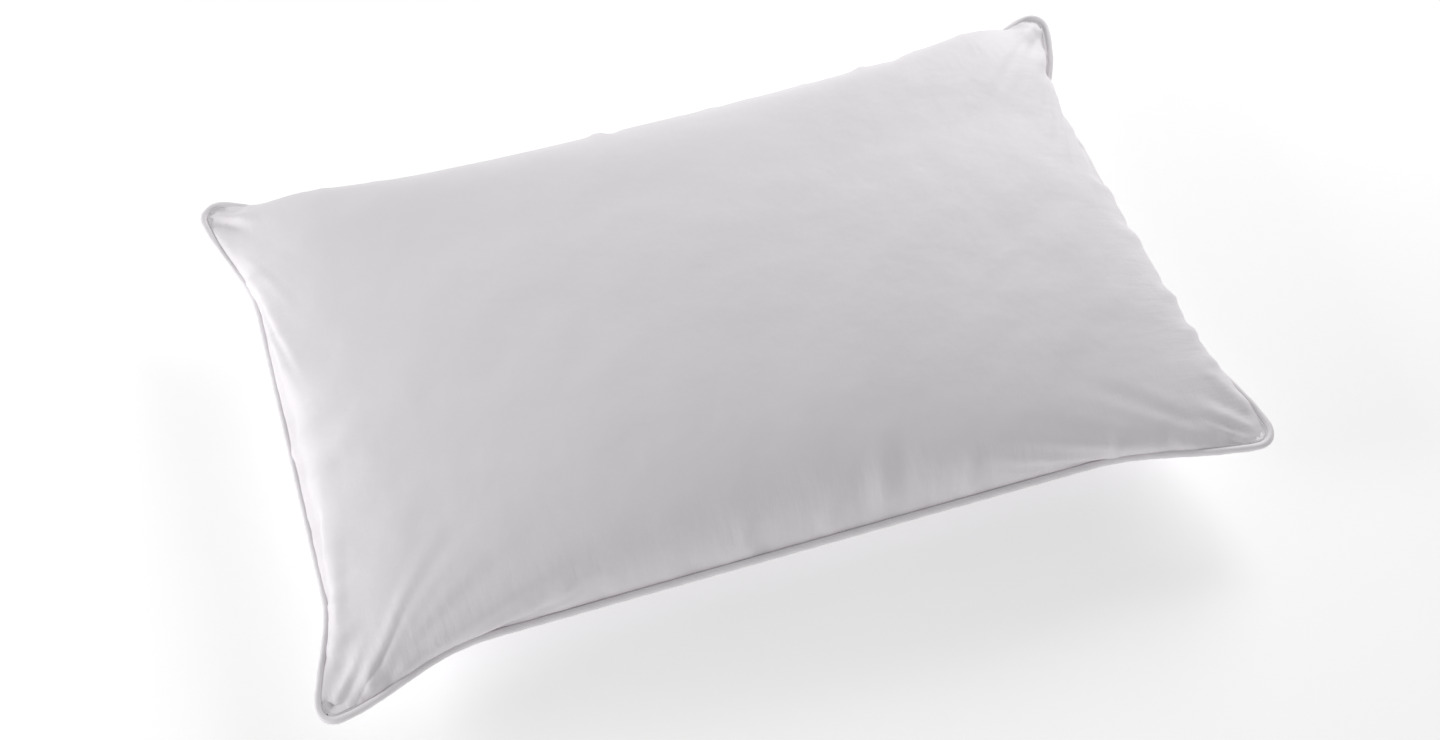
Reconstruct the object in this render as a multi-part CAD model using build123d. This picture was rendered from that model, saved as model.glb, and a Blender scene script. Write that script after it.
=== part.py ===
"""Bed pillow: two cotton panels sewn round a piped seam and stuffed with down.

Frame: +X along the length, +Y towards the far long side, +Z up.
The origin is on the floor under the middle of the pillow.  Units are millimetres.
"""
import os
from math import atan2, comb, cos, pi, sin

from build123d import *

# Overall shape of the stuffed pillow
LENGTH = 790.0  # seam line, corner to corner along X
WIDTH = 490.0  # seam line, corner to corner along Y
SEAM_HEIGHT = 62.0  # middle of the seam above the floor
TOP_CROWN = 71.0  # crown of the top panel above its rim
BOTTOM_CROWN = 77.0  # how deep the underside would bulge if the floor did not press it flat

# Outline: the seam draws in between the four corner ears
LONG_SIDE_DRAW = 24.0
SHORT_SIDE_DRAW = 28.0
EAR_REACH = 130.0  # length of the S-bend from an ear to the drawn-in side
CORNER_RADIUS = 22.0

# Cloth, tape, cord and thread
CLOTH = 0.6
SEAM_ALLOWANCE = 10.0
TAPE = 0.6
CORD_DIAMETER = 5.0
THREAD = 0.5
SEAM_INSET = 2.5  # the seam's stitch line inside the panels' rim

# Stitched-up filling opening in the left short side
CLOSING_LENGTH = 190.0
CLOSING_START = 2.0  # Y of its far end
STITCH_LENGTH = 3.2
STITCH_PITCH = 4.2
STITCH_RISE = 2.6  # the stitch row above and below the seam's cloth

# Clearances
CORD_GAP = 0.3  # cord to its cover
PIPING_GAP = 0.3  # cover to the rims of the panels
FILLING_GAP = 0.5  # filling to the cloth and thread round it
STITCH_GAP = 0.05  # closing stitches to the cloth they lie on

# Crown surface: one Bezier patch, fuller at the rim than an ellipse
CROWN_DEGREE = 12
CROWN_FULLNESS = 0.6
RIM_WALL = 3.0  # upright edge of each panel, which keeps the ears from closing up
RIM_OVERHANG = 4.0  # the patch runs this far past the seam line before it is trimmed

COVER_RADIUS = CORD_DIAMETER / 2 + CORD_GAP + TAPE
COVER_CENTRE = COVER_RADIUS + PIPING_GAP  # cord's middle outside the panels' rim
CLOTH_TOP = SEAM_HEIGHT + TAPE + CLOTH  # upper face of the top panel's allowance
CLOTH_UNDER = SEAM_HEIGHT - TAPE - CLOTH  # lower face of the bottom panel's allowance
RIM_TOP = SEAM_HEIGHT + TAPE + RIM_WALL  # where the top panel's crown starts
RIM_UNDER = SEAM_HEIGHT - TAPE - RIM_WALL  # where the bottom panel's bulge starts


def bend_middle(draw, grow):
    """Middle of an ear's S-bend, measured along the side from its start and out from the line."""
    turn = 2 * atan2(draw, EAR_REACH)
    return EAR_REACH / 2 - grow * sin(turn), draw / 2 + grow * cos(turn)


def quarter_outline(grow):
    """Seam line of one quarter, grown outwards, from the long side's middle to the short side's."""
    long_line = WIDTH / 2 - LONG_SIDE_DRAW
    short_line = LENGTH / 2 - SHORT_SIDE_DRAW
    ear_x, ear_y = LENGTH / 2 - CORNER_RADIUS, WIDTH / 2 - CORNER_RADIUS
    bend_x, bend_y = ear_x - EAR_REACH, ear_y - EAR_REACH
    along, out = bend_middle(LONG_SIDE_DRAW, grow)
    long_middle = (bend_x + along, long_line + out)
    along, out = bend_middle(SHORT_SIDE_DRAW, grow)
    short_middle = (short_line + out, bend_y + along)
    long_start = (bend_x, long_line + grow)
    long_end = (ear_x, WIDTH / 2 + grow)
    short_end = (LENGTH / 2 + grow, ear_y)
    short_start = (short_line + grow, bend_y)
    return [
        Line((0, long_line + grow), long_start),
        TangentArc(long_start, long_middle, tangent=(1, 0)),
        TangentArc(long_end, long_middle, tangent=(-1, 0)),
        TangentArc(long_end, short_end, tangent=(1, 0)),
        TangentArc(short_end, short_middle, tangent=(0, -1)),
        TangentArc(short_start, short_middle, tangent=(0, 1)),
        Line(short_start, (short_line + grow, 0)),
    ]


def outline_face(grow):
    """Flat face inside the seam line, grown outwards by the given amount (or shrunk)."""
    quarter = Curve() + quarter_outline(grow)
    half = quarter + mirror(quarter, about=Plane.YZ)
    whole = half + mirror(half, about=Plane.XZ)
    return make_face(whole.edges()).face()


def slab(grow, low, high):
    """Upright slab with the pillow's outline between two heights."""
    return Pos(0, 0, low) * extrude(outline_face(grow), amount=high - low)


def draw_share(distance):
    """Share of the full draw-in at a distance from the ear, rising smoothly from 0 to 1."""
    share = min(max(distance / (CORNER_RADIUS + EAR_REACH), 0.0), 1.0)
    return share * share * (3 - 2 * share)


def crown(grow, base, height):
    """Crowned body on a flat base; a negative height makes it hang below the base."""
    half_long = LENGTH / 2 + RIM_OVERHANG + grow
    half_wide = WIDTH / 2 + RIM_OVERHANG + grow
    steps = range(CROWN_DEGREE + 1)
    across = [-cos(pi * step / CROWN_DEGREE) for step in steps]
    rise = [abs(sin(pi * step / CROWN_DEGREE)) ** CROWN_FULLNESS for step in steps]
    middle = sum(rise[step] * comb(CROWN_DEGREE, step) for step in steps) / 2**CROWN_DEGREE
    long_draw = [LONG_SIDE_DRAW * draw_share((1 - abs(a)) * half_long) for a in across]
    short_draw = [SHORT_SIDE_DRAW * draw_share((1 - abs(a)) * half_wide) for a in across]
    net = [
        [
            Vector(
                across[i] * (half_long - short_draw[j]),
                across[j] * (half_wide - long_draw[i]),
                base + height * rise[i] * rise[j] / middle**2,
            )
            for j in steps
        ]
        for i in steps
    ]
    patch = Face.make_bezier_surface(net)
    floor = Face(Wire(patch.edges()))
    return Solid(Shell([patch, floor]))


def seam_ring(section, grow, height):
    """Closed ring of the given section run all the way round the seam line."""
    path = outline_face(grow).outer_wire()
    start = Plane(origin=path @ 0, x_dir=(0, 0, 1), z_dir=path % 0)
    return Pos(0, 0, height) * sweep(start * section, path=path)


def upper_body(inset, low):
    """Everything above a height and inside the top crown, drawn in by the given inset."""
    dome = crown(-inset, RIM_TOP, TOP_CROWN - inset) & slab(-inset, RIM_TOP, RIM_TOP + TOP_CROWN)
    return dome + slab(-inset, low, RIM_TOP)


def lower_body(inset, high):
    """Everything below a height and inside the pressed-flat underside, drawn in by the inset."""
    dome = crown(-inset, RIM_UNDER, inset - BOTTOM_CROWN) & slab(-inset, inset, RIM_UNDER)
    return dome + slab(-inset, RIM_UNDER, high)


def top_panel():
    mouth = slab(-SEAM_ALLOWANCE, SEAM_HEIGHT, CLOTH_TOP)
    return upper_body(0, SEAM_HEIGHT + TAPE) - upper_body(CLOTH, CLOTH_TOP) - mouth


def bottom_panel():
    mouth = slab(-SEAM_ALLOWANCE, CLOTH_UNDER, SEAM_HEIGHT)
    return lower_body(0, SEAM_HEIGHT - TAPE) - lower_body(CLOTH, CLOTH_UNDER) - mouth


def filling():
    inset = CLOTH + FILLING_GAP
    upper_low = CLOTH_TOP + THREAD + FILLING_GAP
    lower_high = CLOTH_UNDER - THREAD - FILLING_GAP
    waist = slab(-SEAM_ALLOWANCE - FILLING_GAP, lower_high, upper_low)
    return upper_body(inset, upper_low) + waist + lower_body(inset, lower_high)


def piping_cord():
    return seam_ring(Circle(CORD_DIAMETER / 2), COVER_CENTRE, SEAM_HEIGHT)


def piping_cover():
    tube = seam_ring(Circle(COVER_RADIUS), COVER_CENTRE, SEAM_HEIGHT)
    bore = seam_ring(Circle(COVER_RADIUS - TAPE), COVER_CENTRE, SEAM_HEIGHT)
    legs = slab(COVER_CENTRE, SEAM_HEIGHT - TAPE, SEAM_HEIGHT + TAPE)
    legs -= slab(-SEAM_ALLOWANCE, SEAM_HEIGHT - TAPE, SEAM_HEIGHT + TAPE)
    return tube + legs - bore


def seam_thread(low):
    """Run of thread lying flat on an allowance, all the way round the stitch line."""
    outer = slab(THREAD / 2 - SEAM_INSET, low, low + THREAD)
    return outer - slab(-THREAD / 2 - SEAM_INSET, low, low + THREAD)


def closing_stitches():
    """Two rows of stitches that shut the filling opening, above and below the piping."""
    stand_off = STITCH_GAP + THREAD / 2
    path = outline_face(stand_off).outer_wire()
    start = Vertex(-LENGTH / 2, CLOSING_START, 0)
    origin = path.param_at_point(path.distance_to_with_closest_points(start)[1])
    total = path.length
    heading = path.tangent_at(origin)
    direction = -1 if heading.Y > 0 else 1
    stitches = []
    for number in range(int(CLOSING_LENGTH / STITCH_PITCH)):
        along = (origin * total + direction * (number + 0.5) * STITCH_PITCH) % total
        spot, run = path @ (along / total), path % (along / total)
        for height in (SEAM_HEIGHT + TAPE + STITCH_RISE, SEAM_HEIGHT - TAPE - STITCH_RISE):
            place = Plane(origin=(spot.X, spot.Y, height), x_dir=run, z_dir=(0, 0, 1))
            stitches.append(place * Box(STITCH_LENGTH, THREAD, THREAD))
    return Compound(children=stitches)


PARTS = {
    "top_panel": top_panel,
    "bottom_panel": bottom_panel,
    "filling": filling,
    "piping_cord": piping_cord,
    "piping_cover": piping_cover,
    "needle_thread": lambda: seam_thread(CLOTH_TOP),
    "bobbin_thread": lambda: seam_thread(CLOTH_UNDER - THREAD),
    "closing_stitches": closing_stitches,
}

os.makedirs("parts", exist_ok=True)
for name, make in PARTS.items():
    export_step(make(), f"parts/{name}.step")
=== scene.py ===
"""Bed pillow with piped edges: a cloth casing sewn flat, filled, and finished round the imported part."""

from math import atan2, cos, hypot, pi, radians, sin, sqrt

import bmesh
import bpy
import numpy as np
from mathutils import Matrix, Vector, noise


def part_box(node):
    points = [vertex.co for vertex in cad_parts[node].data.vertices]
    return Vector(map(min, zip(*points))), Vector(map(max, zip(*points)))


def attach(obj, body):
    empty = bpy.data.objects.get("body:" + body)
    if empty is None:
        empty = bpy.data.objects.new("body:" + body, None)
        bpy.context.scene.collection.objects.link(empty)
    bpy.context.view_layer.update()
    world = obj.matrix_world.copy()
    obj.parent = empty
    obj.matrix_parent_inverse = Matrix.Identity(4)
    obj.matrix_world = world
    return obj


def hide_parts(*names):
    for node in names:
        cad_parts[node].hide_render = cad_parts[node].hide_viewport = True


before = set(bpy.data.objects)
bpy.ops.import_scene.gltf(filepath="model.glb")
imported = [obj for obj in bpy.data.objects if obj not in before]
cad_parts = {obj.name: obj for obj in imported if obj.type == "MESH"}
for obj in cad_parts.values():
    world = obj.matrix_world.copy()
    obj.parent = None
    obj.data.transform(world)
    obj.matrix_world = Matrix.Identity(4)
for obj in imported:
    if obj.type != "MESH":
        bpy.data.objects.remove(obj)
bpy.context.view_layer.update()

MM = 0.001

# Places taken from the part.
panel_low, panel_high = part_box("top_panel")
piping_low, piping_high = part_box("piping_cover")
HALF_LENGTH = panel_high.x
HALF_WIDTH = panel_high.y
SEAM_HEIGHT = (piping_low.z + piping_high.z) / 2
CROWN_TOP = panel_high.z
closing_low, closing_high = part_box("closing_stitches")
CLOSING_LOW = closing_low.y
CLOSING_HIGH = closing_high.y

# The casing as it is cut and sewn.
CUT_LENGTH = 790 * MM
CUT_WIDTH = 489 * MM
SEAM_ALLOWANCE = 10 * MM
CLOTH_WALL = 0.36 * MM
COLUMNS = 176
ROWS = 104
EDGE_GRADING = 0.45
# The panel's rim stands off the seam, less so at the tips, and its fold turns in before the allowance.
RIM_RISE_AT_TIP = 0.6 * MM
RIM_RISE_ALONG = 0.7 * MM
RIM_RISE_REACH = 45 * MM
FOLD_IN = 1.5 * MM
FOLD_DROP = 0.1 * MM

# How the casing is filled: steps of the simulation, the step by which the seam is drawn in, pressure.
FILLING_STEPS = 24
DRAWN_IN_BY = 12
FILLING_PRESSURE = 60

# How the filling pulls the seam in between the ears.
FRONT_DRAW = 24 * MM
BACK_DRAW = 24 * MM
LEFT_DRAW = 24 * MM
RIGHT_DRAW = 27 * MM
EAR_ROUNDING = 14 * MM
# For each ear: how far its curve reaches along the long side and along the short side.
EAR_REACH = {
    (-1, -1): (140 * MM, 90 * MM),
    (1, -1): (150 * MM, 140 * MM),
    (-1, 1): (90 * MM, 120 * MM),
    (1, 1): (90 * MM, 105 * MM),
}
# How far the seam drops, or stands up, in the middle of each side.
BACK_SEAM_DROP = 10 * MM
RIGHT_SEAM_DROP = 9 * MM
# The seam tucks under beside the far right ear.
TUCK_PLACE = 145 * MM
TUCK_REACH = 52 * MM
TUCK_IN = 9 * MM
TUCK_DROP = 5 * MM
# The closing seam on the left stands out and up a little.
CLOSING_STAND_OUT = 3 * MM
CLOSING_LIFT = 3 * MM
# How the filling pushes the top panel out beside the back and right seams, and how far the panel is
# slack beside the left one: along the length, along the width and up.
BACK_FULLNESS = (0, 8 * MM, 9 * MM)
RIGHT_FULLNESS = (2 * MM, 0, 1 * MM)
LEFT_SLACK = (9 * MM, 0, -1 * MM)
# How far the underside keeps inside the seam.
UNDER_TUCK = 8 * MM
# For each ear: how far its tip stands out of the plain corner, along the length, the width and up.
EAR_TIPS = {
    (-1, -1): (1 * MM, 9 * MM, -4 * MM),
    (1, -1): (1 * MM, 1 * MM, 0 * MM),
    (-1, 1): (3 * MM, 4 * MM, 3 * MM),
    (1, 1): (-5 * MM, -2 * MM, 2 * MM),
}

# Gathers run inwards from the seam, in mm on the flat panel: place along the side, length, lean, height.
FRONT_GATHERS = (
    (-352, 26, -8, 1.6), (-338, 30, -10, -1.2), (-322, 24, -6, 1.0), (-200, 38, 10, 1.3),
    (-168, 26, 6, -1.2), (-110, 24, -4, 0.8), (-52, 46, 10, 1.8), (-38, 34, 6, -1.6),
    (20, 40, 8, 1.5), (48, 60, 5, -1.2), (65, 92, 14, 1.7), (80, 84, 14, -1.5),
    (139, 52, 8, 1.6), (152, 40, 6, -1.2), (205, 30, 4, 1.0), (259, 40, 12, 1.4),
    (300, 34, 14, -1.2),
)
BACK_GATHERS = (
    (-300, 40, 10, 1.0), (-215, 32, -6, 0.9), (-150, 30, 4, -0.9), (-52, 62, 8, 2.2),
    (-40, 50, 8, -1.8), (60, 40, -8, 1.0), (140, 36, 6, 1.1), (206, 62, -14, 2.2),
    (240, 58, -18, -1.8), (262, 40, -12, 1.4), (310, 40, -16, 1.0),
)
LEFT_GATHERS = (
    (-196, 40, 12, 1.4), (-160, 46, 14, -1.2), (-128, 50, 10, 1.3), (-96, 44, 8, -1.0),
    (-62, 84, 20, 1.7), (-44, 70, 20, -1.4), (-20, 60, 16, 1.4), (8, 52, 10, -1.2),
    (46, 36, 6, 0.9), (88, 44, -6, 1.1), (126, 36, -10, -1.0), (160, 52, -20, 1.3),
)
RIGHT_GATHERS = (
    (-168, 40, 4, 1.3), (-132, 44, -6, 1.6), (-118, 34, -6, -1.2), (-98, 46, 4, 1.8),
    (-84, 36, 4, -1.4), (-34, 56, 8, 1.9), (-18, 44, 8, -1.6), (20, 62, 12, 2.0),
    (34, 50, 12, -1.7), (68, 42, -4, 1.2), (104, 46, -12, 1.5), (128, 36, -14, -1.4),
)
GATHER_HEIGHT = 1.2
# Folds in the ears, in mm on the flat panel: from, to, half width, height.
EAR_FOLDS = (
    ((-389, -238), (-358, -196), 5.0, 2.4),
    ((-384, -241), (-356, -210), 4.0, -0.8),
    ((-393, -226), (-366, -188), 6.0, -1.0),
    ((-372, -228), (-318, -150), 12.0, 0.6),
    ((-374, -236), (-268, -158), 10.0, 2.6),
    ((-392, -231), (-372, -244), 3.2, -2.6),
    ((-352, -243), (-336, -222), 3.0, 1.0),
    ((-343, -243), (-330, -224), 3.0, -0.9),
    ((-393, 228), (-376, 243), 3.2, -1.0),
    ((-391, 238), (-352, 204), 4.5, 2.6),
    ((-392, 230), (-358, 192), 4.0, -2.2),
    ((-383, 241), (-346, 216), 4.0, -2.0),
    ((-372, 232), (-322, 182), 8.0, 1.5),
    ((388, -236), (326, -194), 5.5, 1.6),
    ((380, -241), (322, -214), 4.5, 1.5),
    ((384, -238), (318, -205), 4.5, -1.4),
    ((391, -226), (336, -186), 5.5, -1.2),
    ((392, -216), (350, -160), 7.0, 2.4),
    ((372, -243), (305, -226), 4.5, -1.2),
    ((388, 238), (348, 196), 5.0, 2.6),
    ((391, 226), (350, 176), 4.5, -3.0),
    ((392, 206), (352, 160), 5.0, 2.4),
    ((393, 188), (350, 146), 4.5, -3.0),
    ((376, 242), (330, 208), 4.5, -1.8),
)

# Piping and threads.
COVER_RADIUS = 3.1 * MM
COVER_CENTRE = 2.35 * MM
CORD_RADIUS = 2.3 * MM
THREAD_RADIUS = 0.25 * MM
THREAD_RISE = 1.75 * MM
THREAD_DIP = 0.5 * MM
SEAM_INSET = 2.5 * MM
STITCH_PITCH = 4.2 * MM
STITCH_RISE = 3.3 * MM
STITCH_HALF = (1.6 * MM, 0.35 * MM, 0.3 * MM)
TAPE_WALL = 0.3 * MM
# How much of the tape goes round the cord, from its middle. The rest is its two legs in the seam.
ROUND_SHARE = 0.75
THROAT = radians(158)
STATIONS = 900
THREAD_STATIONS = 3200
UP = np.array((0, 0, 1.0))


def ease(share):
    """Smooth step from 0 to 1."""
    share = min(max(share, 0.0), 1.0)
    return share * share * (3 - 2 * share)


def eased(shares):
    """Smooth step from 0 to 1 on a whole array."""
    shares = np.clip(shares, 0, 1)
    return shares * shares * (3 - 2 * shares)


def graded(share):
    """Finer towards the seam and coarser in the middle of the panel."""
    return share + EDGE_GRADING * sin(pi * share) / pi


def drift(points, scale, seed):
    """Smooth noise of about -1 to 1 at each point, scale in waves per metre."""
    shift = Vector((seed * 3.1, seed * 1.7, seed * 2.3))
    return np.array([noise.noise(Vector(point) * scale + shift) for point in points])


def pull_in(half_side, place, reach_back, reach_on):
    """Share of the full draw at a place along one side, none at the two tips."""
    return ease((place + half_side) / reach_back) * ease((half_side - place) / reach_on)


def closing_share(place):
    """Where the hand-shut part of the left seam stands a little prouder."""
    middle = (CLOSING_HIGH + CLOSING_LOW) / 2
    return ease(1 - abs(place - middle - 20 * MM) / (95 * MM))


def drawn_place(across, along):
    """Where a point of the flat panel sits in plan once the seam has been drawn in."""
    side_x = 1 if across >= 0 else -1
    side_y = 1 if along >= 0 else -1
    long_draw = (BACK_DRAW if side_y > 0 else FRONT_DRAW) * pull_in(
        HALF_LENGTH, across * HALF_LENGTH, EAR_REACH[-1, side_y][0], EAR_REACH[1, side_y][0]
    )
    short_draw = (RIGHT_DRAW if side_x > 0 else LEFT_DRAW) * pull_in(
        HALF_WIDTH, along * HALF_WIDTH, EAR_REACH[side_x, -1][1], EAR_REACH[side_x, 1][1]
    )
    if side_x < 0:
        short_draw -= CLOSING_STAND_OUT * closing_share(along * HALF_WIDTH)
    else:
        short_draw += TUCK_IN * ease(1 - abs(along * HALF_WIDTH - TUCK_PLACE) / TUCK_REACH)
    x = across * (HALF_LENGTH - short_draw)
    y = along * (HALF_WIDTH - long_draw)
    corner_x = HALF_LENGTH - EAR_ROUNDING
    corner_y = HALF_WIDTH - EAR_ROUNDING
    p = (abs(x) - corner_x) / EAR_ROUNDING
    q = (abs(y) - corner_y) / EAR_ROUNDING
    if p > 0 and q > 0:
        x = side_x * (corner_x + EAR_ROUNDING * p * sqrt(1 - q * q / 2))
        y = side_y * (corner_y + EAR_ROUNDING * q * sqrt(1 - p * p / 2))
    return x, y


def seam_lift(across, along):
    """How far the seam rides above its plain height at a place on the rim."""
    back = -BACK_SEAM_DROP * pull_in(HALF_LENGTH, across * HALF_LENGTH, 0.16, 0.14)
    right = -RIGHT_SEAM_DROP * pull_in(HALF_WIDTH, along * HALF_WIDTH, 0.2, 0.11)
    right -= TUCK_DROP * ease(1 - abs(along * HALF_WIDTH - TUCK_PLACE) / TUCK_REACH)
    left = CLOSING_LIFT * closing_share(along * HALF_WIDTH)
    sides = right * ease((across - 0.7) / 0.3) + left * ease((-across - 0.8) / 0.2)
    return back * ease((along - 0.6) / 0.4) + sides


def dome(across, along):
    """Plain crown of a filled casing, 1 in the middle and 0 at the seam."""
    return (max(1 - abs(across) ** 2.4, 0) * max(1 - abs(along) ** 2.2, 0)) ** 0.55


def sew_casing():
    """Two flat panels joined at the seam, each point marked with its place on the flat cloth."""
    cloth = bmesh.new()
    bmesh.ops.create_grid(cloth, x_segments=COLUMNS, y_segments=ROWS, size=1, calc_uvs=True)
    flat = cloth.verts.layers.float_vector.new("flat")
    formed = cloth.verts.layers.float_vector.new("formed")
    lift_of = cloth.verts.layers.float.new("lift")
    for point in cloth.verts:
        across, along = graded(point.co.x), graded(point.co.y)
        lift = 1 - max(abs(across), abs(along)) ** 8
        point[flat] = (across * CUT_LENGTH / 2, along * CUT_WIDTH / 2, 0.5 * MM * lift)
        x, y = drawn_place(across, along)
        point[formed] = (x, y, 60 * MM * dome(across, along))
        point[lift_of] = seam_lift(across, along)
        point.co = point[flat]
    twin = bmesh.ops.duplicate(cloth, geom=cloth.verts[:] + cloth.edges[:] + cloth.faces[:])
    under = [item for item in twin["geom"] if isinstance(item, bmesh.types.BMFace)]
    bmesh.ops.reverse_faces(cloth, faces=under)
    for point in {point for face in under for point in face.verts}:
        point[flat].z *= -1
        point[formed].z *= -1
        point.co.z *= -1
    bmesh.ops.remove_doubles(cloth, verts=cloth.verts, dist=0.01 * MM)
    weave_map = cloth.loops.layers.uv.verify()
    for face in cloth.faces:
        turned = sum(point[flat].z for point in face.verts) < 0
        for corner in face.loops:
            place = corner.vert[flat]
            corner[weave_map].uv = (place.x + 0.5, place.y + 0.3 + 0.6 * turned)
    mesh = bpy.data.meshes.new("casing")
    cloth.to_mesh(mesh)
    flat_places = np.array([point[flat] for point in cloth.verts])
    formed_places = np.array([point[formed] for point in cloth.verts])
    formed_places[:, 2] += [point[lift_of] for point in cloth.verts]
    cloth.free()
    return mesh, flat_places, formed_places


def fill_casing(mesh, flat, formed):
    """Blow the flat casing up with the filling while its seam is drawn in, and return where it ends."""
    seam = np.flatnonzero(np.abs(flat[:, 2]) < 1e-9)
    inside = np.abs(flat[:, 2]) > 1e-9
    start = flat.copy()
    start[:, 2] += inside * 0.4 * MM * drift(flat * (1, 1, 0), 40, 2)
    trial = mesh.copy()
    trial.vertices.foreach_set("co", start.ravel())
    casing = bpy.data.objects.new("casing", trial)
    bpy.context.scene.collection.objects.link(casing)
    basis = casing.shape_key_add(name="Basis")
    drawn = casing.shape_key_add(name="drawn in")
    basis.data.foreach_set("co", start.ravel())
    drawn.data.foreach_set("co", formed.ravel())
    drawn.value = 0
    drawn.keyframe_insert("value", frame=1)
    drawn.value = 1
    drawn.keyframe_insert("value", frame=DRAWN_IN_BY)
    held = casing.vertex_groups.new(name="seam")
    held.add([int(point) for point in seam], 1, "REPLACE")
    cloth = casing.modifiers.new("filling pressure", "CLOTH")
    feel = cloth.settings
    feel.quality = 4
    feel.mass = 0.001
    feel.air_damping = 1
    feel.tension_stiffness = feel.compression_stiffness = 40
    feel.shear_stiffness = 10
    feel.bending_stiffness = 0.3
    feel.tension_damping = feel.compression_damping = feel.shear_damping = 5
    feel.bending_damping = 0.5
    feel.use_pressure = True
    feel.uniform_pressure_force = FILLING_PRESSURE
    feel.vertex_group_mass = "seam"
    feel.effector_weights.gravity = 0
    cloth.collision_settings.use_collision = False
    cloth.collision_settings.use_self_collision = False
    cloth.point_cache.frame_start = 1
    cloth.point_cache.frame_end = FILLING_STEPS
    for moment in range(1, FILLING_STEPS + 1):
        bpy.context.scene.frame_set(moment)
    settled = bpy.data.meshes.new_from_object(
        casing.evaluated_get(bpy.context.evaluated_depsgraph_get())
    )
    places = np.empty(len(settled.vertices) * 3)
    settled.vertices.foreach_get("co", places)
    bpy.data.objects.remove(casing)
    bpy.data.meshes.remove(settled)
    bpy.data.meshes.remove(trial)
    bpy.context.scene.frame_set(1)
    return places.reshape(-1, 3)


def reach_ears(places, flat):
    """Each ear's tip stands out from the plain corner by its own amount."""
    moved = places.copy()
    for (side_x, side_y), tip in EAR_TIPS.items():
        gap = np.hypot(flat[:, 0] * side_x - CUT_LENGTH / 2, flat[:, 1] * side_y - CUT_WIDTH / 2)
        share = eased(1 - gap / (110 * MM))
        moved += share[:, None] * np.array((tip[0] * side_x, tip[1] * side_y, tip[2]))
    return moved


def lean_filling(places, flat):
    """The down sits fuller towards the back and right seams, and the underside keeps inside the seam."""
    placed = places.copy()
    for axis, half_cut, draw, push in (
        (1, CUT_WIDTH / 2, CUT_LENGTH / 2, BACK_FULLNESS),
        (0, CUT_LENGTH / 2, CUT_WIDTH / 2, RIGHT_FULLNESS),
    ):
        depth = half_cut - flat[:, axis]
        share = eased(depth / (24 * MM)) * eased((150 * MM - depth) / (115 * MM))
        share *= eased((draw - np.abs(flat[:, 1 - axis])) / (95 * MM)) * (flat[:, 2] > 0)
        placed += share[:, None] * np.array(push)
    depth = CUT_LENGTH / 2 + flat[:, 0]
    share = eased(depth / (14 * MM)) * eased((95 * MM - depth) / (75 * MM)) * (flat[:, 2] > 0)
    share *= eased((CUT_WIDTH / 2 - np.abs(flat[:, 1])) / (40 * MM))
    share *= 1 - 0.4 * eased(flat[:, 1] / (60 * MM))
    placed += share[:, None] * np.array(LEFT_SLACK)
    depth_x = CUT_LENGTH / 2 - np.abs(flat[:, 0])
    depth_y = CUT_WIDTH / 2 - np.abs(flat[:, 1])
    for axis, depth in ((0, depth_x), (1, depth_y)):
        share = eased(depth / (16 * MM)) * eased((130 * MM - depth) / (110 * MM)) * (flat[:, 2] < 0)
        placed[:, axis] -= np.sign(flat[:, axis]) * share * UNDER_TUCK
    return placed


def rest_on_bed(places):
    """Bring the casing to its height on the bed and press its underside flat where it rests."""
    placed = places.copy()
    top = placed[:, 2].max()
    crown = CROWN_TOP - SEAM_HEIGHT
    placed[:, 2] = np.where(placed[:, 2] > 0, placed[:, 2] * crown / top, placed[:, 2])
    placed[:, 2] += SEAM_HEIGHT
    press = 4 * MM
    pressed = (placed[:, 2] + np.sqrt(placed[:, 2] ** 2 + press * press)) / 2
    low = pressed.min()
    placed[:, 2] = pressed - low * np.clip(1 - pressed / SEAM_HEIGHT, 0, 1)
    return placed


def normals_of(mesh, places):
    """Outward direction at every point."""
    mesh.vertices.foreach_set("co", places.ravel())
    mesh.update()
    directions = np.empty(len(mesh.vertices) * 3)
    mesh.vertex_normals.foreach_get("vector", directions)
    return directions.reshape(-1, 3)


def from_seam(flat):
    """How far each point of the cloth is from the seam."""
    return np.minimum(CUT_LENGTH / 2 - np.abs(flat[:, 0]), CUT_WIDTH / 2 - np.abs(flat[:, 1]))


def stroke(flat, start, end, half_width, height, from_edge=0.25):
    """A soft ridge, or a valley if the height is negative, between two places on the flat panel, in mm."""
    begin = np.array(start) * MM
    run = np.array(end) * MM - begin
    length = np.hypot(*run)
    gap = flat[:, :2] - begin
    along = gap @ run / length**2
    aside = (gap[:, 0] * run[1] - gap[:, 1] * run[0]) / length
    taper = eased(along / from_edge) * eased((1 - along) / 0.6)
    return height * MM * np.exp(-((aside / (half_width * MM)) ** 2)) * taper


def gathers(flat, rows, half_side, across_x, side):
    """Small folds that run inwards from one side's seam."""
    total = np.zeros(len(flat))
    edge = side * half_side / MM
    for place, length, lean, height in rows:
        reach = edge - side * length
        start = (place, edge) if across_x else (edge, place)
        end = (place + lean, reach) if across_x else (reach, place + lean)
        total += stroke(flat, start, end, 3.2 + length * 0.05, GATHER_HEIGHT * height, 0.3)
    return total


def loose_gathers(count, half_side, seed):
    """Rows for the smaller gathers scattered between the bigger ones."""
    rows = []
    for number in range(count):
        chance = [noise.random() for _ in range(4)]
        place = (chance[0] * 2 - 1) * (half_side / MM - 14)
        height = (0.35 + 0.6 * chance[1]) * (1 if number % 2 else -1)
        rows.append((place, 14 + 26 * chance[2], 16 * chance[3] - 8, height))
    return rows


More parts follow.
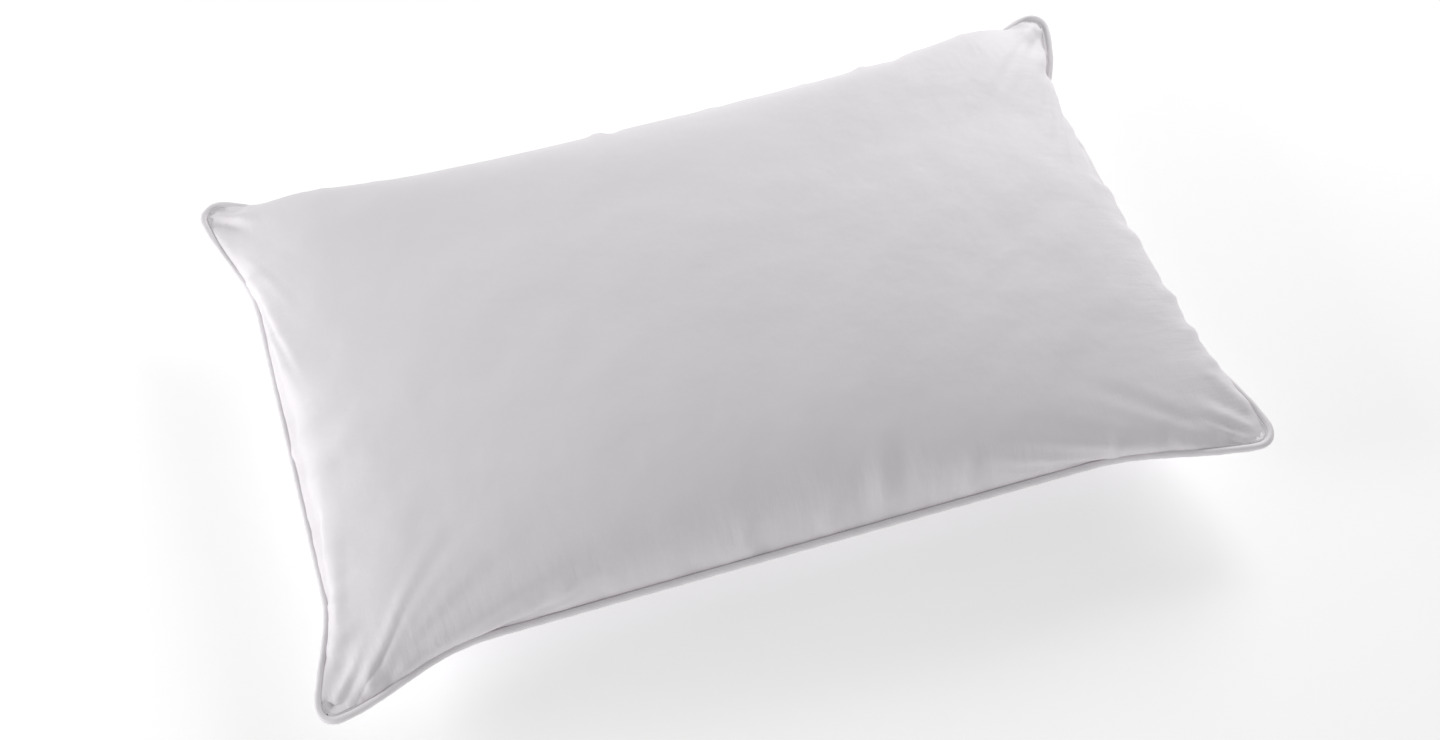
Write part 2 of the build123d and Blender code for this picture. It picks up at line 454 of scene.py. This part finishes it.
def soften(places, flat, outward):
    """Soft clumps of down under the cloth, gathers along the seam and folds in the ears."""
    depth = from_seam(flat)
    upper = flat[:, 2] >= 0
    layer = np.where(upper, 0, 1)[:, None]
    plan = flat * (1, 1, 0) + layer * np.array((0, 0, 0.7))
    clumps = 1.1 * drift(plan, 11, 1) + 0.75 * drift(plan, 24, 4) + 0.3 * drift(plan, 55, 5)
    relief = clumps * MM * eased(depth / (70 * MM))
    mirrored = flat * (-1, 1, 1)
    noise.seed_set(7)
    half_x, half_y = CUT_LENGTH / 2, CUT_WIDTH / 2
    for pattern, share in ((flat, upper * 1.0), (mirrored, ~upper * 1.0)):
        folds = gathers(pattern, FRONT_GATHERS, half_y, True, -1)
        folds += gathers(pattern, BACK_GATHERS, half_y, True, 1)
        folds += gathers(pattern, LEFT_GATHERS, half_x, False, -1)
        folds += gathers(pattern, RIGHT_GATHERS, half_x, False, 1)
        for side in (-1, 1):
            folds += gathers(pattern, loose_gathers(34, half_x, side), half_y, True, side)
            folds += gathers(pattern, loose_gathers(22, half_y, side), half_x, False, side)
        for start, end, half_width, height in EAR_FOLDS:
            folds += stroke(pattern, start, end, half_width, height, 0.18)
        relief += folds * share
    return places + outward * relief[:, None]


def seam_ring(flat, places):
    """The seam's points in order round the pillow, closed, and how far round each of them is."""
    on_seam = np.flatnonzero(np.abs(flat[:, 2]) < 1e-9)
    edge = flat[on_seam]
    front = np.isclose(edge[:, 1], -CUT_WIDTH / 2)
    right = np.isclose(edge[:, 0], CUT_LENGTH / 2) & ~front
    back = np.isclose(edge[:, 1], CUT_WIDTH / 2) & ~right
    order = np.where(
        front,
        edge[:, 0],
        np.where(right, 1 + edge[:, 1], np.where(back, 2 - edge[:, 0], 3 - edge[:, 1])),
    )
    ring = places[on_seam[np.argsort(order)]]
    loop = np.vstack([ring, ring[:1]])
    run = np.concatenate([[0], np.cumsum(np.linalg.norm(np.diff(loop, axis=0), axis=1))])
    return loop, run


def even_ring(loop, run, count):
    """Evenly spaced points on the seam, closed, and the outward direction at each in plan."""
    stations = np.arange(count) * run[-1] / count
    points = np.stack([np.interp(stations, run, loop[:, axis]) for axis in range(3)], axis=1)
    for _ in range(3):
        points = (np.roll(points, 1, 0) + 2 * points + np.roll(points, -1, 0)) / 4
    heading = np.roll(points, -1, 0) - np.roll(points, 1, 0)
    heading[:, 2] = 0
    heading /= np.linalg.norm(heading, axis=1)[:, None]
    outward = np.stack([heading[:, 1], -heading[:, 0], np.zeros(count)], axis=1)
    return points, outward


def wrap(name, stations, sides, closed, shape):
    """A skin wrapped round the seam: shape(station, share) gives each point of it."""
    skin = bmesh.new()
    bmesh.ops.create_grid(skin, x_segments=stations, y_segments=sides, size=0.5, calc_uvs=True)
    for point in skin.verts:
        station = int(round((point.co.x + 0.5) * stations)) % stations
        share = point.co.y + 0.5
        if closed:
            share = (int(round(share * sides)) % sides) / sides
        point.co = shape(station, share)
    bmesh.ops.remove_doubles(skin, verts=skin.verts, dist=0.001 * MM)
    bmesh.ops.recalc_face_normals(skin, faces=skin.faces)
    mesh = bpy.data.meshes.new(name)
    skin.to_mesh(mesh)
    skin.free()
    return add_piece(name, mesh)


def add_piece(name, mesh):
    """Put a finished mesh in the scene with smooth shading."""
    mesh.shade_smooth()
    piece = bpy.data.objects.new(name, mesh)
    bpy.context.scene.collection.objects.link(piece)
    return piece


def make_panel(name, mesh, places, flat, upper):
    """One panel of the casing, its allowance turned in along the seam, with its real thickness."""
    panel = bmesh.new()
    panel.from_mesh(mesh)
    panel.verts.ensure_lookup_table()
    for point, place in zip(panel.verts, places):
        point.co = place
    side = 1 if upper else -1
    mark = panel.verts.layers.float_vector["flat"]
    spare = [face for face in panel.faces if side * sum(p[mark].z for p in face.verts) < 0]
    bmesh.ops.delete(panel, geom=spare, context="FACES")
    rim = [edge for edge in panel.edges if edge.is_boundary]
    for point in {point for edge in rim for point in edge.verts}:
        tip_gap = hypot(CUT_LENGTH / 2 - abs(point[mark].x), CUT_WIDTH / 2 - abs(point[mark].y))
        point.co.z += side * (RIM_RISE_AT_TIP + RIM_RISE_ALONG * ease(tip_gap / RIM_RISE_REACH))
    for step, drop in ((FOLD_IN, FOLD_DROP), (SEAM_ALLOWANCE - FOLD_IN, 0)):
        turned = bmesh.ops.extrude_edge_only(panel, edges=rim)
        rim = [item for item in turned["geom"] if isinstance(item, bmesh.types.BMEdge)]
        for point in {point for edge in rim for point in edge.verts}:
            across, along = point[mark].x, point[mark].y
            inward = Vector((
                -np.sign(across) if abs(across) > CUT_LENGTH / 2 - 1e-6 else 0,
                -np.sign(along) if abs(along) > CUT_WIDTH / 2 - 1e-6 else 0,
                0,
            )).normalized()
            point.co += inward * step - Vector((0, 0, side * drop))
    panel.normal_update()
    finished = bpy.data.meshes.new(name)
    panel.to_mesh(finished)
    panel.free()
    piece = add_piece(name, finished)
    wall = piece.modifiers.new("cloth thickness", "SOLIDIFY")
    wall.thickness = CLOTH_WALL
    wall.offset = -1
    return piece


class Reading:
    """A value inside a finish that works in plain arithmetic."""

    def __init__(self, finish, socket):
        self.finish = finish
        self.socket = socket

    def math(self, operation, *terms):
        return self.finish.node("ShaderNodeMath", {"operation": operation}, dict(enumerate(terms)))

    def __add__(self, other):
        return self.math("ADD", self, other)

    def __radd__(self, other):
        return self.math("ADD", other, self)

    def __sub__(self, other):
        return self.math("SUBTRACT", self, other)

    def __rsub__(self, other):
        return self.math("SUBTRACT", other, self)

    def __mul__(self, other):
        return self.math("MULTIPLY", self, other)

    def __rmul__(self, other):
        return self.math("MULTIPLY", other, self)

    def __truediv__(self, other):
        return self.math("DIVIDE", self, other)

    def __rtruediv__(self, other):
        return self.math("DIVIDE", other, self)

    def sine(self):
        return self.math("SINE", self)

    def size(self):
        return self.math("ABSOLUTE", self)

    def above(self, level):
        return self.math("MAXIMUM", self, level)

    def below(self, level):
        return self.math("MINIMUM", self, level)


class Finish:
    """One material of the pillow, built node by node."""

    def __init__(self, name):
        self.material = bpy.data.materials.new(name)
        self.material.use_nodes = True
        self.tree = self.material.node_tree
        self.tree.nodes.clear()

    def node(self, kind, settings=None, sockets=None, out=0):
        """Add a node: its settings first, then the values or links of its sockets."""
        node = self.tree.nodes.new(kind)
        for name, value in (settings or {}).items():
            setattr(node, name, value)
        for name, value in (sockets or {}).items():
            if isinstance(value, Reading):
                self.tree.links.new(value.socket, node.inputs[name])
            else:
                node.inputs[name].default_value = value
        return Reading(self, node.outputs[out]) if node.outputs else None

    def place(self):
        """Place on the object, in metres."""
        return self.node("ShaderNodeTexCoord", out="Object")

    def cloth_place(self):
        """Place on the flat cloth, in metres."""
        return self.node("ShaderNodeTexCoord", out="UV")

    def apart(self, place):
        """The two directions of the cloth as separate values."""
        split = self.node("ShaderNodeSeparateXYZ", None, {0: place})
        return split, Reading(self, split.socket.node.outputs[1])

    def cloud(self, place, scale, detail=2, roughness=0.5):
        """Soft noise of 0 to 1."""
        return self.node(
            "ShaderNodeTexNoise",
            {"noise_dimensions": "3D"},
            {"Vector": place, "Scale": scale, "Detail": detail, "Roughness": roughness},
        )

    def blend(self, share, first, second):
        """Colour between two colours."""
        return self.node(
            "ShaderNodeMix", {"data_type": "RGBA"}, {0: share, 6: first, 7: second}, out=2
        )

    def stretched(self, place, scale, turn=0):
        """The same place squeezed or turned."""
        return self.node(
            "ShaderNodeMapping", None, {"Vector": place, "Scale": scale, "Rotation": (0, 0, turn)}
        )

    def relief(self, height, distance, strength=1, under=None):
        """Bump of a height in metres."""
        sockets = {"Height": height, "Distance": distance, "Strength": strength}
        if under is not None:
            sockets["Normal"] = under
        return self.node("ShaderNodeBump", None, sockets)

    def done(self, sockets):
        """Feed the shader and the output."""
        shader = self.node("ShaderNodeBsdfPrincipled", None, sockets)
        self.node("ShaderNodeOutputMaterial", None, {"Surface": shader})
        return self.material


def plain_weave(finish, across, along, thread):
    """Height of a plain weave whose threads are this far apart."""
    warp = (across * (pi / thread)).sine()
    weft = (along * (pi / thread)).sine()
    return (warp * weft) * 0.5 + (warp.size() + weft.size()) * 0.25


def casing_cotton():
    """Closely woven white cotton, calendered to a slight sheen so that no down comes through."""
    finish = Finish("downproof_cotton")
    place = finish.place()
    cloth = finish.cloth_place()
    across, along = finish.apart(cloth)
    weave = plain_weave(finish, across, along, 0.36 * MM)
    slub = finish.cloud(finish.stretched(cloth, (60, 900, 1)), 1, 1)
    slub_weft = finish.cloud(finish.stretched(cloth, (900, 60, 1)), 1, 1)
    broad = finish.cloud(place, 9, 3)
    rumple = finish.cloud(place, 30, 2, 0.45)
    fine = finish.cloud(place, 150, 2, 0.5)
    end_place, side_place = finish.apart(place)
    near_ends = ((end_place.size() - 0.3) / 0.09).above(0).below(1)
    near_sides = ((side_place.size() - 0.16) / 0.08).above(0).below(1)
    side_gathers = finish.cloud(finish.stretched(place, (150, 32, 20)), 1, 2)
    end_gathers = finish.cloud(finish.stretched(place, (32, 150, 20)), 1, 2)
    seam_gathers = side_gathers * near_sides + end_gathers * near_ends
    shade = (broad * 0.6 + rumple * 0.25 + (slub + slub_weft) * 0.08).below(1)
    colour = finish.blend(shade, (0.785, 0.758, 0.79, 1), (0.84, 0.812, 0.838, 1))
    surface = finish.relief(rumple + fine * 0.14, 1.3 * MM, 0.8)
    surface = finish.relief(seam_gathers, 0.9 * MM, 0.7, surface)
    surface = finish.relief((slub + slub_weft) * 0.5, 0.06 * MM, 0.5, surface)
    surface = finish.relief(weave, 0.05 * MM, 0.6, surface)
    return finish.done({
        "Base Color": colour,
        "Roughness": 0.46 + fine * 0.12 + broad * 0.06,
        "Normal": surface,
        "Specular IOR Level": 0.42,
        "Sheen Weight": 0.12,
        "Sheen Roughness": 0.45,
        "Sheen Tint": (1, 1, 1, 1),
    })


def piping_tape():
    """The same cotton cut on the bias and folded round the cord."""
    finish = Finish("bias_cut_tape")
    place = finish.place()
    cloth = finish.cloth_place()
    tape = finish.stretched(cloth, (2.55, 0.039, 1))
    slanted = finish.stretched(tape, (1, 1, 1), radians(45))
    across, along = finish.apart(slanted)
    weave = plain_weave(finish, across, along, 0.4 * MM)
    ripple = finish.cloud(finish.stretched(tape, (170, 60, 1), radians(12)), 1, 2)
    broad = finish.cloud(place, 30, 2)
    colour = finish.blend(broad, (0.8, 0.775, 0.8, 1), (0.86, 0.835, 0.86, 1))
    surface = finish.relief(ripple, 0.3 * MM, 0.4)
    surface = finish.relief(weave, 0.06 * MM, 0.6, surface)
    return finish.done({
        "Base Color": colour,
        "Roughness": 0.5 + ripple * 0.12,
        "Normal": surface,
        "Specular IOR Level": 0.4,
        "Sheen Weight": 0.1,
        "Sheen Roughness": 0.5,
    })


def cord_cotton():
    """Soft twisted cotton cord."""
    finish = Finish("twisted_cotton_cord")
    place = finish.place()
    fibres = finish.cloud(place, 900, 3, 0.6)
    colour = finish.blend(fibres, (0.62, 0.6, 0.55, 1), (0.8, 0.78, 0.73, 1))
    return finish.done({
        "Base Color": colour,
        "Roughness": 0.8 + fibres * 0.12,
        "Normal": finish.relief(fibres, 0.3 * MM, 0.7),
        "Sheen Weight": 0.25,
    })


def sewing_thread():
    """Two-ply sewing thread with a little gloss along its twist."""
    finish = Finish("sewing_thread")
    place = finish.place()
    across, along = finish.apart(finish.stretched(place, (1, 1, 1), radians(38)))
    ply = ((across + along) * (2 * pi / (0.5 * MM))).sine()
    fibres = finish.cloud(place, 2600, 2)
    colour = finish.blend(fibres, (0.7, 0.7, 0.71, 1), (0.82, 0.82, 0.82, 1))
    return finish.done({
        "Base Color": colour,
        "Roughness": 0.42 + fibres * 0.15,
        "Normal": finish.relief(ply * 0.5 + fibres * 0.4, 0.05 * MM, 0.6),
        "Sheen Weight": 0.15,
    })


def down_filling():
    """Fluffy white down."""
    finish = Finish("white_down")
    place = finish.place()
    tufts = finish.cloud(place, 60, 6, 0.7)
    hairs = finish.cloud(place, 800, 3, 0.7)
    colour = finish.blend(tufts, (0.72, 0.7, 0.66, 1), (0.88, 0.87, 0.85, 1))
    return finish.done({
        "Base Color": colour,
        "Roughness": 0.9 + hairs * 0.1,
        "Normal": finish.relief(tufts * 0.8 + hairs * 0.2, 4 * MM, 0.8),
        "Sheen Weight": 0.5,
    })


def studio_floor():
    """Even white floor."""
    finish = Finish("white_floor")
    place = finish.place()
    grain = finish.cloud(place, 3, 2)
    colour = finish.blend(grain, (0.9, 0.9, 0.9, 1), (0.93, 0.93, 0.93, 1))
    return finish.done({
        "Base Color": colour,
        "Roughness": 0.7 + grain * 0.05,
        "Emission Color": (1, 1, 1, 1),
        "Emission Strength": 0.27,
        "Specular IOR Level": 0.1,
    })


# ---- the casing ----
casing, flat, formed = sew_casing()
places = fill_casing(casing, flat, formed)
places = reach_ears(places, flat)
places = lean_filling(places, flat)
places = rest_on_bed(places)
places = soften(places, flat, normals_of(casing, places))
places[:, 2] = np.maximum(places[:, 2], 0)

top_panel = make_panel("pillow_top_panel", casing, places, flat, True)
bottom_panel = make_panel("pillow_bottom_panel", casing, places, flat, False)

# ---- the piping round the seam ----
loop, run = seam_ring(flat, places)
ring, ring_out = even_ring(loop, run, STATIONS)


def tape_place(station, share):
    """The tape: in along the allowance, round the cord and back."""
    side = 1 if share > 0.5 else -1
    reach = abs(share - 0.5) * 2
    if reach <= ROUND_SHARE:
        turn = side * THROAT * reach / ROUND_SHARE
        pucker = 0.1 * MM * sin(station * 0.83 + turn * 2) + 0.08 * MM * sin(station * 2.1 - turn * 3)
        radius = COVER_RADIUS - 0.12 * MM + pucker * cos(turn / 2)
        out = COVER_CENTRE + radius * cos(turn)
        up = radius * sin(turn)
    else:
        along = (reach - ROUND_SHARE) / (1 - ROUND_SHARE)
        out = 0.3 * MM - along * (SEAM_ALLOWANCE - 1 * MM)
        up = side * 0.35 * MM
    return ring[station] + ring_out[station] * out + UP * up


piping_cover = wrap("pillow_piping_cover", STATIONS, 28, False, tape_place)
tape_wall = piping_cover.modifiers.new("tape thickness", "SOLIDIFY")
tape_wall.thickness = TAPE_WALL
tape_wall.offset = -1


def cord_place(station, share):
    """Three strands twisted round one another."""
    turn = 2 * pi * share
    twist = station * 2 * pi / 6
    radius = CORD_RADIUS + 0.13 * MM * cos(3 * turn - twist)
    out = COVER_CENTRE + radius * cos(turn)
    return ring[station] + ring_out[station] * out + UP * radius * sin(turn)


piping_cord = wrap("pillow_piping_cord", STATIONS, 14, True, cord_place)


def thread_run(name, side):
    """One thread of the machine seam, dipping into the cloth at each stitch."""
    points, outward = even_ring(loop, run, THREAD_STATIONS)

    def thread_place(station, share):
        turn = 2 * pi * share
        dip = (1 - abs(sin(station * pi / 4))) * THREAD_DIP
        height = side * (THREAD_RISE - dip) + THREAD_RADIUS * sin(turn)
        out = THREAD_RADIUS * cos(turn) - SEAM_INSET
        return points[station] + outward[station] * out + UP * height

    return wrap(name, THREAD_STATIONS, 6, True, thread_place)


needle_thread = thread_run("pillow_needle_thread", 1)
bobbin_thread = thread_run("pillow_bobbin_thread", -1)


def make_closing_stitches():
    """Short stitches over the fold above and below the piping, where the filling went in."""
    sewing = bmesh.new()
    left = (loop[:, 0] < 0) & (loop[:, 1] < CLOSING_HIGH + 0.02) & (loop[:, 1] > CLOSING_LOW - 0.02)
    side_x = loop[left][:, 0]
    side_y = loop[left][:, 1]
    order = np.argsort(side_y)
    count = int((CLOSING_HIGH - CLOSING_LOW) / STITCH_PITCH)
    for number in range(count):
        y = CLOSING_HIGH - (number + 0.5) * STITCH_PITCH
        x = np.interp(y, side_y[order], side_x[order])
        ahead = np.interp(y - 2 * MM, side_y[order], side_x[order])
        z = np.interp(y, side_y[order], loop[left][order][:, 2])
        lean = atan2(-2 * MM, ahead - x)
        for side in (1, -1):
            shape = Matrix.Translation((x + 0.1 * MM, y, z + side * STITCH_RISE))
            shape = shape @ Matrix.Rotation(lean + side * 0.25, 4, "Z")
            shape = shape @ Matrix.Diagonal((*STITCH_HALF, 1))
            bmesh.ops.create_icosphere(sewing, subdivisions=2, radius=1, matrix=shape)
    mesh = bpy.data.meshes.new("pillow_closing_stitches")
    sewing.to_mesh(mesh)
    sewing.free()
    return add_piece("pillow_closing_stitches", mesh)


closing_stitches = make_closing_stitches()


def make_filling():
    """The down: a closed body just inside the casing, lumpy where tufts press together."""
    depth = from_seam(flat)
    inner = places - normals_of(casing, places) * (2.2 * MM)
    towards = np.sign(flat) * (1, 1, 0)
    near_x = np.clip(1 - (CUT_LENGTH / 2 - np.abs(flat[:, 0])) / (40 * MM), 0, 1)
    near_y = np.clip(1 - (CUT_WIDTH / 2 - np.abs(flat[:, 1])) / (40 * MM), 0, 1)
    inner[:, 0] -= towards[:, 0] * near_x * 14 * MM
    inner[:, 1] -= towards[:, 1] * near_y * 14 * MM
    lumps = drift(flat + (0, 0, 3), 45, 6) * 0.8 * MM * eased(depth / (40 * MM))
    inner -= normals_of(casing, inner) * (np.abs(lumps) + 0.2 * MM)[:, None]
    inner[:, 2] = np.maximum(inner[:, 2], 1.2 * MM)
    mesh = casing.copy()
    mesh.name = "pillow_down_filling"
    mesh.vertices.foreach_set("co", inner.ravel())
    mesh.update()
    return add_piece("pillow_down_filling", mesh)


filling = make_filling()

# ---- finishes ----
cotton = casing_cotton()
tape = piping_tape()
cord = cord_cotton()
thread = sewing_thread()
down = down_filling()
for piece, material, slot, node in (
    (top_panel, cotton, "casing_cotton", "top_panel"),
    (bottom_panel, cotton, "casing_cotton", "bottom_panel"),
    (piping_cover, tape, "piping_tape", "piping_cover"),
    (piping_cord, cord, "cord_cotton", "piping_cord"),
    (needle_thread, thread, "sewing_thread", "needle_thread"),
    (bobbin_thread, thread, "sewing_thread", "bobbin_thread"),
    (closing_stitches, thread, "sewing_thread", "closing_stitches"),
    (filling, down, "down_filling", "filling"),
):
    piece.data.materials.clear()
    piece.data.materials.append(material)
    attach(piece, "root")
    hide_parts(node)

# ---- studio ----
floor_shape = bmesh.new()
bmesh.ops.create_grid(floor_shape, x_segments=1, y_segments=1, size=40)
floor_mesh = bpy.data.meshes.new("studio_floor")
floor_shape.to_mesh(floor_mesh)
floor_shape.free()
floor = add_piece("studio_floor", floor_mesh)
floor_mesh.transform(Matrix.Translation((0, 0, -0.4 * MM)))
floor_mesh.materials.append(studio_floor())

sky = bpy.data.worlds.new("studio_air")
bpy.context.scene.world = sky
sky.use_nodes = True
sky.node_tree.nodes["Background"].inputs["Color"].default_value = (1, 1, 1, 1)
sky.node_tree.nodes["Background"].inputs["Strength"].default_value = 0.37


def soft_box(name, place, size, power, aim=(0, 0, 0.05)):
    """A square lamp turned towards the pillow."""
    lamp = bpy.data.lights.new(name, "AREA")
    lamp.size = size
    lamp.energy = power
    stand = bpy.data.objects.new(name, lamp)
    bpy.context.scene.collection.objects.link(stand)
    stand.location = place
    stand.rotation_euler = (Vector(aim) - Vector(place)).to_track_quat("-Z", "Y").to_euler()


soft_box("left_softbox", (-1.9, 0.15, 0.62), 0.8, 19)
soft_box("front_softbox", (-0.5, -1.9, 0.6), 1.2, 5)
soft_box("back_right_softbox", (1.5, 1.5, 1.0), 1.0, 31)

lens = bpy.data.cameras.new("studio_camera")
camera = bpy.data.objects.new("studio_camera", lens)
bpy.context.scene.collection.objects.link(camera)
bpy.context.scene.camera = camera
lens.lens = 49.6
lens.sensor_width = 36
azimuth, elevation = radians(-17.5), radians(57.1)
back = Vector((
    sin(azimuth) * cos(elevation),
    -cos(azimuth) * cos(elevation),
    sin(elevation),
))
camera.location = Vector((-0.016, -0.0445, SEAM_HEIGHT)) + back * 1.66
camera.rotation_euler = back.to_track_quat("Z", "Y").to_euler()
bpy.context.scene.view_settings.view_transform = "Standard"
